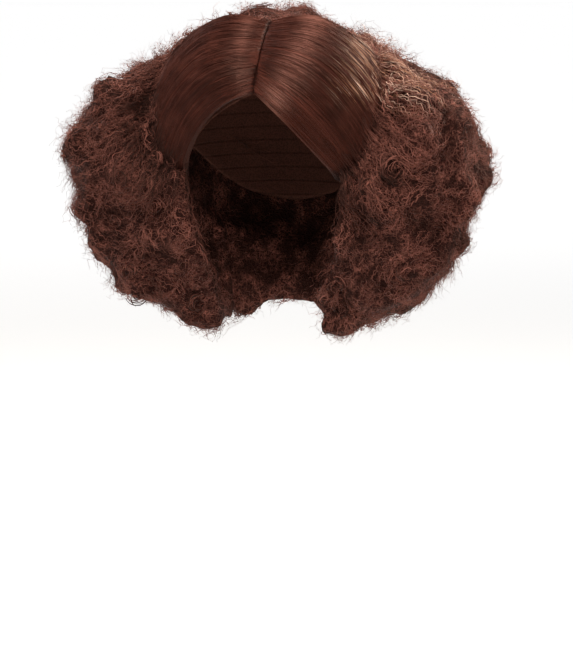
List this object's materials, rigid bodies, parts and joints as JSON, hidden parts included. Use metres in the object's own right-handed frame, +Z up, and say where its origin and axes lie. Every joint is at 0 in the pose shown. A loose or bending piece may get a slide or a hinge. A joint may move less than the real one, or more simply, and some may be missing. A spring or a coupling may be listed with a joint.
{
  "type": "afro wig",
  "caption": "Wide frizzed wig with a centre parting: smooth hair sweeps from the parting to the temples, full curls stand out at the sides and back, over a hollow cap.",
  "frame": {"origin": "the highest point of the inside of the cap, where it rests on the top of the head", "axes": "+Z up, -Y the way the wearer faces, +X the wearer's left"},
  "size_m": [0.3815, 0.249, 0.2883],
  "materials": {
    "cap_fabric": "matt knit",
    "parting_fabric": "matt fabric",
    "combed_hair": "smooth synthetic hair with a soft sheen",
    "frizzed_hair": "frizzed synthetic hair",
    "rolled_hair": "curled synthetic hair with a soft sheen"
  },
  "bodies": {
    "root": {"cap": "cap_fabric", "parting_strip": "parting_fabric", "swept_wing_left": "combed_hair", "swept_wing_right": "combed_hair", "crown_curls": "frizzed_hair", "side_curls_left": "frizzed_hair", "side_curls_right": "frizzed_hair", "back_curls": "frizzed_hair", "rolled_curl_temple": "rolled_hair", "rolled_curl_cheek": "rolled_hair"}
  },
  "joints": []
}
